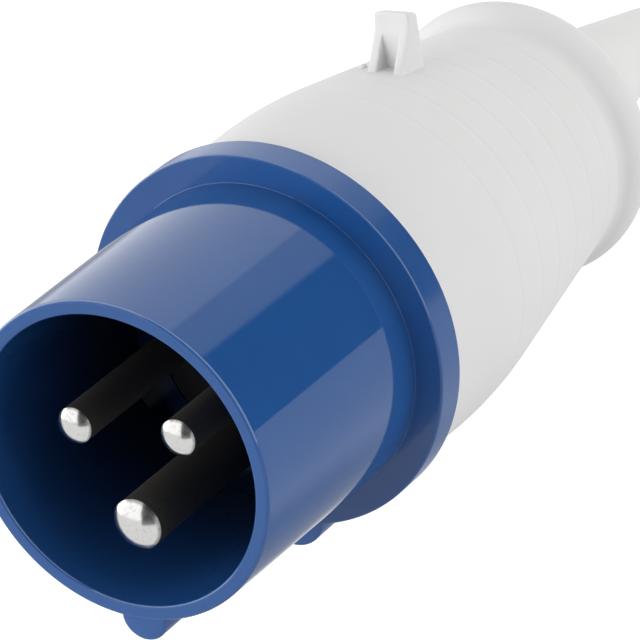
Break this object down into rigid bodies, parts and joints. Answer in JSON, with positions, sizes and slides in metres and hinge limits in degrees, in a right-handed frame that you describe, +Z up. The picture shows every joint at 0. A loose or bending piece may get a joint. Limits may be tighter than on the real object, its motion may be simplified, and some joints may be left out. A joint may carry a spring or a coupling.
{
  "type": "pin and sleeve cable plug",
  "caption": "Round mains cable plug with contact pins inside a keyed blue sleeve and a pale twist-on grip with a retaining hook and a conical cord entry.",
  "frame": {"origin": "centre of the sleeve's open mouth, on the sleeve's axis", "axes": "+Y along the axis from the mouth to the cord entry, +Z up towards the hook, with the key rib at -Z"},
  "size_m": [0.0526, 0.148, 0.0602],
  "materials": {
    "blue_shell": "moulded, glossy",
    "pale_grip": "moulded, satin",
    "soft_cone": "soft moulded, matte",
    "black_insulator": "moulded, matte",
    "plated_contact": "turned, nickel plated",
    "screw_steel": "zinc plated",
    "seal_rubber": "smooth"
  },
  "bodies": {
    "front": {"front_shell": "blue_shell", "contact_carrier": "black_insulator", "carrier_ring": "black_insulator", "line_pin": "plated_contact", "neutral_pin": "plated_contact", "earth_pin": "plated_contact", "terminal_screws": "screw_steel", "terminal_plate": "black_insulator", "plate_screws": "screw_steel", "clamp_saddle": "black_insulator", "clamp_screws": "screw_steel", "clamp_nuts": "screw_steel"},
    "rear": {"rear_grip": "pale_grip", "housing_seal": "seal_rubber", "cord_cone": "soft_cone", "cone_keeper": "black_insulator"}
  },
  "joints": [
    {"name": "grip_twist", "type": "hinge", "parent": "front", "child": "rear", "pos_m": [0, 0.05, 0], "axis": [0, 1, 0], "range_deg": [0, 30]}
  ]
}
